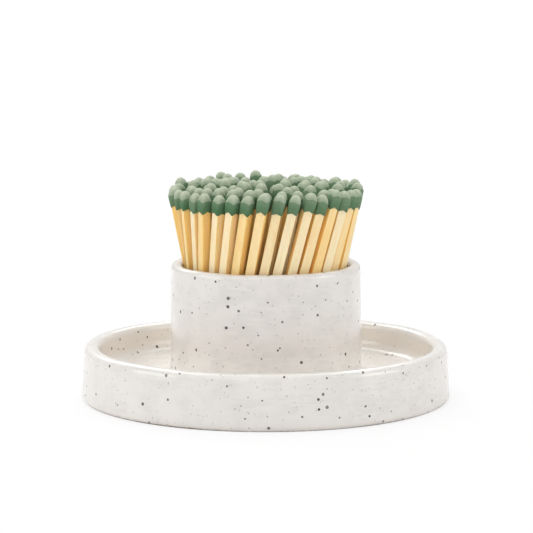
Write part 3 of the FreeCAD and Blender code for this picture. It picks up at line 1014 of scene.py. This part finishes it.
def floor_material(stage):
    """Plain pale floor that the camera sees as nearly white, with the striker's soft shadow kept."""
    material = bpy.data.materials.new("studio_floor")
    tree = empty_tree(material)
    diffuse = add_node(tree, "BsdfDiffuse", {"Color": (*stage.floor, 1.0)})
    glow = add_node(tree, "Emission", {"Color": (1.0, 1.0, 1.0, 1.0), "Strength": 1.0})
    seen, _ = seen_straight(tree)
    away = vector_math(tree, "LENGTH", object_place(tree), output="Value")
    fade = {"Value": away, "From Min": SHADOW_FADE[0], "From Max": SHADOW_FADE[1], "To Min": stage.floor_glow}
    whiteness = times(tree, seen, add_node(tree, "MapRange", fade).outputs[0])
    mixed = add_node(tree, "MixShader", {0: whiteness, 1: diffuse.outputs[0], 2: glow.outputs[0]})
    add_node(tree, "OutputMaterial", {"Surface": mixed.outputs[0]})
    return material


def set_sky(stage):
    """An even white sky: plain white to the camera, a little less in reflections, and weaker as a
    light."""
    world = bpy.data.worlds.new("studio")
    bpy.context.scene.world = world
    tree = empty_tree(world)
    seen, rays = seen_straight(tree)
    shown = larger(tree, seen, times(tree, rays.outputs["Is Glossy Ray"], REFLECTED_SKY))
    strength = add_node(tree, "MapRange", {"Value": shown, "To Min": stage.sky, "To Max": 1.0}).outputs[0]
    background = add_node(tree, "Background", {"Color": (1.0, 1.0, 1.0, 1.0), "Strength": strength})
    add_node(tree, "OutputWorld", {"Surface": background.outputs[0]})


def add_softbox(name, place, size, watts):
    """A rectangular light. It is tilted from straight down and turned about the vertical to face its
    aim."""
    lamp = bpy.data.lights.new(name, "AREA")
    lamp.shape, lamp.energy = "RECTANGLE", watts
    lamp.size, lamp.size_y = size
    holder = add_object(name, lamp)
    holder.location = place
    x, y, z = np.subtract(LIGHT_AIM, place)
    holder.rotation_euler = (math.atan2(math.hypot(x, y), -z), 0.0, math.atan2(-x, y))


def add_camera(stage):
    """The camera, at the photograph's angle."""
    camera = bpy.data.cameras.new("camera")
    camera.sensor_width, camera.lens, camera.shift_x = SENSOR_WIDTH, stage.lens, CAMERA_SHIFT
    camera.clip_start, camera.clip_end = 0.01, 20.0
    holder = add_object("camera", camera)
    holder.location = (0.0, -stage.camera_distance, stage.camera_height)
    drop = math.atan2(stage.camera_height - stage.aim_height, stage.camera_distance)
    holder.rotation_euler = (math.pi / 2 - drop, 0.0, 0.0)
    bpy.context.scene.camera = holder


# Operators

class STRIKER_OT_stage(bpy.types.Operator):
    """Add the floor, the soft light and the camera"""
    bl_idname = "striker.stage"
    bl_label = "Stage"
    bl_options = {"REGISTER", "UNDO"}

    def execute(self, context):
        stage = context.scene.striker.stage
        context.scene.view_settings.view_transform = "Standard"
        mesh = floor_mesh()
        mesh.materials.append(floor_material(stage))
        add_object("studio_floor", mesh)
        set_sky(stage)
        for name, (place, size, setting, part) in LIGHTS.items():
            add_softbox(name, place, size, getattr(stage, setting) * part)
        add_camera(stage)
        return {"FINISHED"}


class STRIKER_OT_stoneware(bpy.types.Operator):
    """Add the glazed cup and tray"""
    bl_idname = "striker.stoneware"
    bl_label = "Cup and tray"
    bl_options = {"REGISTER", "UNDO"}

    def execute(self, context):
        ware = context.scene.striker.stoneware
        finish_piece(stoneware_mesh(ware), glaze_material(ware), "cup_and_tray")
        return {"FINISHED"}


class STRIKER_OT_sticks(bpy.types.Operator):
    """Add the sticks of the matches, one piece for each bunch"""
    bl_idname = "striker.sticks"
    bl_label = "Match sticks"
    bl_options = {"REGISTER", "UNDO"}

    def execute(self, context):
        look = context.scene.striker.matches
        material = wood_material(look)
        for bunch in BUNCHES:
            finish_piece(stick_mesh(bunch, look), material, f"{STICKS}{bunch}")
        return {"FINISHED"}


class STRIKER_OT_heads(bpy.types.Operator):
    """Add the dipped heads of the matches, one piece for each bunch"""
    bl_idname = "striker.heads"
    bl_label = "Match heads"
    bl_options = {"REGISTER", "UNDO"}

    def execute(self, context):
        look = context.scene.striker.matches
        material = head_material(look)
        for bunch in BUNCHES:
            finish_piece(head_mesh(bunch, look), material, f"{HEADS}{bunch}")
        return {"FINISHED"}


class STRIKER_PT_panel(bpy.types.Panel):
    """The match striker's pieces and sizes"""
    bl_idname = "STRIKER_PT_panel"
    bl_label = "Match Striker"
    bl_space_type = "VIEW_3D"
    bl_region_type = "UI"
    bl_category = "Match Striker"

    def draw(self, context):
        striker = context.scene.striker
        parts = (
            (striker.stage, (STRIKER_OT_stage,)),
            (striker.stoneware, (STRIKER_OT_stoneware,)),
            (striker.matches, (STRIKER_OT_sticks, STRIKER_OT_heads)),
        )
        for settings, operators in parts:
            box = self.layout.box()
            for operator in operators:
                box.operator(operator.bl_idname)
            for name in settings.bl_rna.properties.keys():
                if name not in {"rna_type", "name"}:
                    box.prop(settings, name)


SETTINGS = (StonewareSettings, MatchSettings, StageSettings, StrikerSettings)
OPERATORS = (STRIKER_OT_stage, STRIKER_OT_stoneware, STRIKER_OT_sticks, STRIKER_OT_heads)


def register():
    for cls in (*SETTINGS, *OPERATORS, STRIKER_PT_panel):
        bpy.utils.register_class(cls)
    bpy.types.Scene.striker = bpy.props.PointerProperty(type=StrikerSettings)


def unregister():
    del bpy.types.Scene.striker
    for cls in reversed((*SETTINGS, *OPERATORS, STRIKER_PT_panel)):
        bpy.utils.unregister_class(cls)


def main():
    register()
    bpy.ops.striker.stage()
    bpy.ops.striker.stoneware()
    bpy.ops.striker.sticks()
    bpy.ops.striker.heads()


if __name__ == "__main__":
    main()
